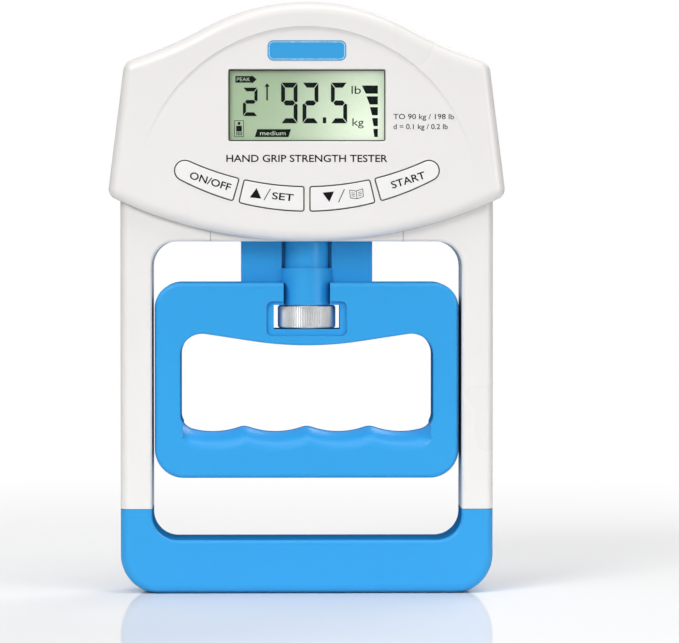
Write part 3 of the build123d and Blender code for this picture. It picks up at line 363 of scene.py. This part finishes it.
# ---------------------------------------------------------------- materials by slot
# the amounts given to plastic and metal set how strong the painted shade in gaps and at grazing edges is
BUILDERS = {
    "white_shell": lambda n, c: plastic(n, c, roughness=0.28, crevice_shade=0.75),
    "blue_shell": lambda n, c: plastic(n, shade(c, 0.88), roughness=0.36, gloss=0.3, crevice_shade=0.5, rim_shade=0.8),
    "key_white": lambda n, c: plastic(n, c, roughness=0.36, gloss=0.4, crevice_shade=0.95),
    "badge": lambda n, c: plastic(n, c, roughness=0.24, gloss=0.35, grain=0.02),
    "window": lambda n, c: clear_window(n),
    "lcd_glass": lcd_glass,
    "black_rubber": rubber,
    "connector_rubber": rubber,
    "inner_plastic": lambda n, c: plastic(n, c, roughness=0.5, gloss=0.3, grain=0.2),
    "circuit_board": circuit_board,
    "resin": lambda n, c: plastic(n, c, roughness=0.4, grain=0.15, crevice_shade=0.2),
    "gauge_resin": lambda n, c: plastic(n, c, roughness=0.3, crevice_shade=0.2),
    "load_cell_alloy": lambda n, c: metal(n, c, 0.34, (1.0, 12.0, 12.0)),
    "plated_steel": lambda n, c: metal(n, c, 0.30, (1.0, 8.0, 1.0)),
    "screw_steel": lambda n, c: metal(n, c, 0.28),
    "spring_steel": lambda n, c: metal(n, c, 0.22),
    "wheel_steel": lambda n, c: metal(n, shade(c, 1.6), 0.40, (1.0, 1.0, 9.0), crevice_shade=1.0, root=0.0005),
    "nut_brass": lambda n, c: metal(n, c, 0.28, (1.0, 1.0, 9.0)),
    "cell_jacket": cell_jacket,
    "lead_red": lambda n, c: rubber(n, c, 0.5),
    "lead_black": lambda n, c: rubber(n, c, 0.5),
}


def dress_frame():
    """Gives every CAD node the procedural material of its slot. Returns the materials by slot."""
    made = {}
    for entry in frame["record"]["materials"]:
        slot = entry["slot"]
        made[slot] = BUILDERS[slot](slot, tuple(entry["base_color"][:3]) + (1.0,))
    for part in frame["record"]["subparts"]:
        mesh = frame["nodes"][part["node"]].data
        mesh.materials.clear()
        mesh.materials.append(made[part["material_slot"]])
    return made


# ---------------------------------------------------------------- display contents
def seven_segments(left, right, low, high, upright, level, on):
    """Outlines of the lit segments of one digit. upright and level are the stroke widths."""
    gap = 0.16
    mid = (low + high) / 2
    strokes = {}
    for name, z, inward in (("a", high, -1), ("d", low, 1)):
        inner = z + inward * level
        strokes[name] = [(left + gap, z), (right - gap, z), (right - upright - gap, inner), (left + upright + gap, inner)]
    half = level / 2
    strokes["g"] = [
        (left + upright / 2 + gap, mid), (left + upright + gap, mid + half), (right - upright - gap, mid + half),
        (right - upright / 2 - gap, mid), (right - upright - gap, mid - half), (left + upright + gap, mid - half),
    ]
    for name, x, inward, z, down in (
        ("f", left, 1, high, -1), ("b", right, -1, high, -1), ("e", left, 1, low, 1), ("c", right, -1, low, 1),
    ):
        inner = x + inward * upright
        strokes[name] = [
            (x, z + down * gap), (inner, z + down * (level + gap)), (inner, mid - down * (half + gap)),
            (x + inward * upright / 2, mid - down * gap), (x, mid - down * (gap + 0.3)),
        ]
    return [strokes[s] for s in on]


def display_figures(inks):
    """Everything the LCD shows, as thin films on its front face."""
    low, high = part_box("display_window")
    cx, cz = (low.x + high.x) / 2 / MM, (low.z + high.z) / 2 / MM
    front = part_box("display_panel")[0].y / MM - INK_DEPTH
    upper = front - INK_DEPTH
    dark, pale = inks["lcd_dark"], inks["lcd_pale"]

    def place(outlines):
        return [[(cx + x, cz + z) for x, z in outline] for outline in outlines]

    def show(name, outlines):
        flat_piece(name, place(outlines), front, "housing", dark)

    def write(name, text, x, z, height, width, y, material, weight=0.0):
        lettering(name, text, (cx + x, cz + z), height, width, y, "housing", material, weight=weight)

    big_low, big_high = -5.7, 7.3
    figures = ((-8.25, -3.0, "abcdfg"), (-1.4, 3.7, "abdeg"), (7.7, 12.9, "acdfg"))
    for i, (left, right, on) in enumerate(figures):
        show(f"lcd_digit_{i + 1}", seven_segments(left, right, big_low, big_high, 1.25, 1.6, on))
    show("lcd_point", [[(5.1, big_low), (6.2, big_low), (6.2, big_low + 1.9), (5.1, big_low + 1.9)]])
    show("lcd_user_digit", seven_segments(-20.5, -15.8, -3.4, 5.7, 1.0, 1.2, "abdeg"))
    show("lcd_rank_arrow", [[(-13.0, 1.6), (-12.5, 1.6), (-12.5, 6.0), (-11.9, 6.0), (-12.75, 7.1), (-13.6, 6.0), (-13.0, 6.0)]])
    show("lcd_hold_tag", [[(-22.9, 7.3), (-17.6, 7.3), (-17.6, 7.0), (-16.1, 8.35), (-17.6, 9.7), (-17.6, 9.4), (-22.9, 9.4)]])
    write("lcd_hold_word", "PEAK", -20.3, 8.35, 1.15, 4.3, upper, pale)
    show("lcd_range_tag", [[(-16.7, -10.1), (-5.9, -10.1), (-5.1, -7.6), (-15.9, -7.6)]])
    write("lcd_range_word", "medium", -10.9, -8.85, 1.35, 8.2, upper, pale)
    write("lcd_unit_top", "lb", 15.8, 5.0, 2.5, 3.0, front, dark)
    write("lcd_unit_low", "kg", 16.4, -5.3, 2.4, 3.6, front, dark)

    bar_right, bar_top, bar_pitch, bar_high = 22.75, 6.4, 3.47, 2.6
    slants = ((17.6, 18.9), (19.1, 20.1), (20.2, 20.9), (20.9, 21.4), (21.3, 21.6))
    bars = []
    for i, (upper_left, lower_left) in enumerate(slants):
        top = bar_top - i * bar_pitch
        bars.append([(upper_left, top), (bar_right, top), (bar_right, top - bar_high), (lower_left, top - bar_high)])
    show("lcd_strength_bars", bars)

    person = [arc_points(-21.75, -5.75, 0.48, count=20)]
    person.append([(-22.65, -8.3), (-20.85, -8.3), (-20.85, -6.5), (-22.65, -6.5)])
    for x in (-22.45, -21.95, -21.45, -20.95):
        person.append([(x - 0.12, -9.6), (x + 0.12, -9.6), (x + 0.12, -8.45), (x - 0.12, -8.45)])
    show("lcd_person", person)
    bm = bmesh.new()
    frame_z = -7.45
    outer = rounded_box(cx - 21.75, cz + frame_z, 3.1, 5.3, 0.12, 3)
    inner = rounded_box(cx - 21.75, cz + frame_z, 2.76, 4.96, 0.06, 3)
    band(bm, outer, inner, front, INK_DEPTH + EMBED)
    new_piece("lcd_person_frame", bm, "housing", dark)


# ---------------------------------------------------------------- prints on the white panel and the keys
def panel_prints(inks):
    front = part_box("badge_plate")[0].y / MM + 0.12 - INK_DEPTH
    black = inks["print_black"]
    low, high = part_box("badge_plate")
    cx, cz = (low.x + high.x) / 2 / MM, (low.z + high.z) / 2 / MM
    width, height = (high.x - low.x) / MM, (high.z - low.z) / MM
    lettering("title_print", "HAND GRIP STRENGTH TESTER", (cx, cz - 34.5), 2.3, 51.6, front, "housing", black,
              weight=0.014)
    for i, (text, length) in enumerate((("TO 90 kg / 198 lb", 19.4), ("d = 0.1 kg / 0.2 lb", 17.4))):
        place = (27.7 + length / 2, cz - 21.1 - 3.2 * i)
        lettering(f"range_print_{i + 1}", text, place, 1.65, length, front, "housing", black,
                  weight=0.006)
    bm = bmesh.new()
    outer = rounded_box(cx, cz, width - 0.7, height - 0.7, 1.55)
    inner = rounded_box(cx, cz, width - 1.15, height - 1.15, 1.35)
    band(bm, outer, inner, low.y / MM - INK_DEPTH, INK_DEPTH + EMBED)
    new_piece("badge_outline", bm, "housing", inks["badge_line"])


def key_middle(node):
    low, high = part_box(node)
    return (low.x + high.x) / 2 / MM, (low.z + high.z) / 2 / MM, low.y / MM - INK_DEPTH


def key_prints(inks):
    black = inks["print_black"]
    x, z, front = key_middle("key_on")
    lettering("legend_on", "ON/OFF", (x + 1.2, z - 0.3), 2.35, 13.6, front, "on_button", black, turn=-17.5,
              weight=0.014)
    x, z, front = key_middle("key_start")
    lettering("legend_start", "START", (x + 0.3, z + 0.1), 2.35, 11.2, front, "start_button", black, turn=17.5,
              weight=0.014)

    x, z, front = key_middle("key_up")
    middle, turn = (x, z), -6.0
    mark = [(x - 6.9, z - 1.3), (x - 3.2, z - 1.3), (x - 5.05, z + 1.9)]
    slash = line((x - 2.3, z - 1.7), (x - 0.6, z + 2.1), 0.28)
    flat_piece("legend_up", [turned(mark, turn, middle), turned(slash, turn, middle)], front, "up_button", black)
    lettering("legend_set", "SET", (x + 3.6, z - 0.35), 2.25, 6.9, front, "up_button", black, turn=turn,
              weight=0.014)

    x, z, front = key_middle("key_down")
    middle, turn = (x, z), 6.0
    mark = [(x - 6.2, z + 1.6), (x - 2.5, z + 1.6), (x - 4.35, z - 1.6)]
    slash = line((x - 1.4, z - 2.0), (x + 0.9, z + 2.0), 0.28)
    outlines = [turned(mark, turn, middle), turned(slash, turn, middle)]
    outlines += [turned(stroke, turn, middle) for stroke in book_strokes(x + 4.6, z)]
    flat_piece("legend_down", outlines, front, "down_button", black)


def book_strokes(x, z):
    """A generic open book: two pages that meet at the spine, with three lines of text on each."""
    strokes = []
    for side in (-1, 1):
        spine_top, spine_low = (x, z + 1.0), (x, z - 1.5)
        edge_top, edge_low = (x + side * 2.1, z + 1.5), (x + side * 2.1, z - 1.0)
        strokes.append(line(spine_top, edge_top, 0.2))
        strokes.append(line(spine_low, edge_low, 0.2))
        strokes.append(line(edge_top, edge_low, 0.2))
        for row in (0.5, 0.0, -0.5):
            start, end = (x + side * 0.5, z + row - 0.15), (x + side * 1.65, z + row + 0.12)
            strokes.append(line(start, end, 0.16))
    strokes.append(line((x, z + 1.0), (x, z - 1.5), 0.2))
    return strokes


# ---------------------------------------------------------------- stage, light and camera
def floor_plane():
    """Pale polished floor: soft shadow and a faint mirror image near the object, pure white far off."""
    half = 6.0
    bm = bmesh.new()
    corners = ((-half, -half), (half, -half), (half, half), (-half, half))
    bm.faces.new([bm.verts.new((x, y, 0.0)) for x, y in corners])
    mesh = bpy.data.meshes.new("floor")
    bm.to_mesh(mesh)
    bm.free()
    g = Graph("floor_white")
    tone = g.mix(g.ramp(g.noise(3.0, 3.0), 0.3, 0.7), (0.93, 0.93, 0.935, 1.0), (0.95, 0.95, 0.955, 1.0))
    matt = g.add("ShaderNodeBsdfDiffuse", {"Color": tone})
    rough = g.ramp(g.noise(12.0, 3.0), 0.3, 0.7, 0.05, 0.08)
    mirror = g.add("ShaderNodeBsdfGlossy", {"Color": (1.0, 1.0, 1.0, 1.0), "Roughness": rough})
    near = g.add("ShaderNodeMixShader", {0: 0.24, 1: matt, 2: mirror})
    seen = g.ramp(g.add("ShaderNodeLightPath", out="Is Camera Ray"), 0.0, 1.0, 0.18, 1.0)
    far = g.add("ShaderNodeEmission", {"Color": (1.0, 1.0, 1.0, 1.0), "Strength": seen})
    away = g.add("ShaderNodeVectorMath", {0: g.point}, out="Value", operation="LENGTH")
    g.add_output(g.add("ShaderNodeMixShader", {0: g.ramp(away, 0.12, 0.60), 1: near, 2: far}))
    mesh.materials.append(g.material)
    floor = bpy.data.objects.new("floor", mesh)
    bpy.context.scene.collection.objects.link(floor)


def softbox(name, place, target, size, power):
    light = bpy.data.lights.new(name, "AREA")
    light.shape = "RECTANGLE"
    light.size, light.size_y = size
    light.energy = power
    holder = bpy.data.objects.new(name, light)
    bpy.context.scene.collection.objects.link(holder)
    holder.location = place
    holder.rotation_euler = (Vector(target) - Vector(place)).to_track_quat("-Z", "Y").to_euler()


def white_room():
    """World light: white for the camera and for the floor's mirror image, and else dim at the sides."""
    world = bpy.data.worlds.new("studio")
    bpy.context.scene.world = world
    world.use_nodes = True
    tree = world.node_tree

    def add(kind, inputs=None, out=0, **settings):
        node = tree.nodes.new(kind)
        for key, value in settings.items():
            setattr(node, key, value)
        for key, value in (inputs or {}).items():
            if isinstance(value, bpy.types.NodeSocket):
                tree.links.new(value, node.inputs[key])
            else:
                node.inputs[key].default_value = value
        return node.outputs[out]

    heading = add("ShaderNodeTexCoord", out="Generated")
    depth = add("ShaderNodeSeparateXYZ", {"Vector": heading}, out="Y")
    facing = add("ShaderNodeMath", {0: depth}, operation="ABSOLUTE")
    level = add("ShaderNodeMapRange", {"Value": facing, "To Min": 0.05, "To Max": 0.46})
    behind = add("ShaderNodeMath", {0: depth, 1: 0.9}, operation="GREATER_THAN")
    mirrored = add("ShaderNodeLightPath", out="Is Glossy Ray")
    mirrored = add("ShaderNodeMath", {0: behind, 1: mirrored}, operation="MULTIPLY")
    camera_ray = add("ShaderNodeLightPath", out="Is Camera Ray")
    white = add("ShaderNodeMath", {0: camera_ray, 1: mirrored}, operation="MAXIMUM")
    strength = add("ShaderNodeMix", {0: white, 2: level, 3: 1.0})
    back = tree.nodes["Background"]
    back.inputs["Color"].default_value = (1.0, 1.0, 1.0, 1.0)
    tree.links.new(strength, back.inputs["Strength"])


def studio():
    white_room()
    middle = (0.0, 0.0, 0.1)
    softbox("key_light", (-0.75, -1.3, 0.95), middle, (0.7, 0.7), 12.9)
    softbox("fill_light", (1.2, -1.1, 0.2), middle, (0.5, 0.9), 6.9)
    softbox("top_light", (0.1, -0.5, 1.5), middle, (1.2, 0.8), 9.6)
    softbox("back_light", (0.7, 1.3, 0.9), middle, (1.0, 1.0), 11.0)
    bpy.context.scene.view_settings.view_transform = "Standard"


def camera():
    data = bpy.data.cameras.new("camera")
    data.lens, data.sensor_width = 206.0, 36.0
    holder = bpy.data.objects.new("camera", data)
    bpy.context.scene.collection.objects.link(holder)
    holder.location = (-0.010, -1.261, 0.122)
    holder.rotation_euler = Euler((radians(90.0 - 1.57), 0.0, radians(-0.94)))
    bpy.context.scene.camera = holder


# ---------------------------------------------------------------- the whole scene
def main():
    dress_frame()
    inks = {
        "lcd_dark": ink("lcd_dark", (0.004, 0.008, 0.008)),
        "lcd_pale": ink("lcd_pale", (0.66, 0.80, 0.60)),
        "print_black": ink("print_black", (0.006, 0.006, 0.007)),
        "badge_line": ink("badge_line", (0.45, 0.75, 0.95), 0.3),
    }
    display_figures(inks)
    panel_prints(inks)
    key_prints(inks)
    floor_plane()
    studio()
    camera()


main()
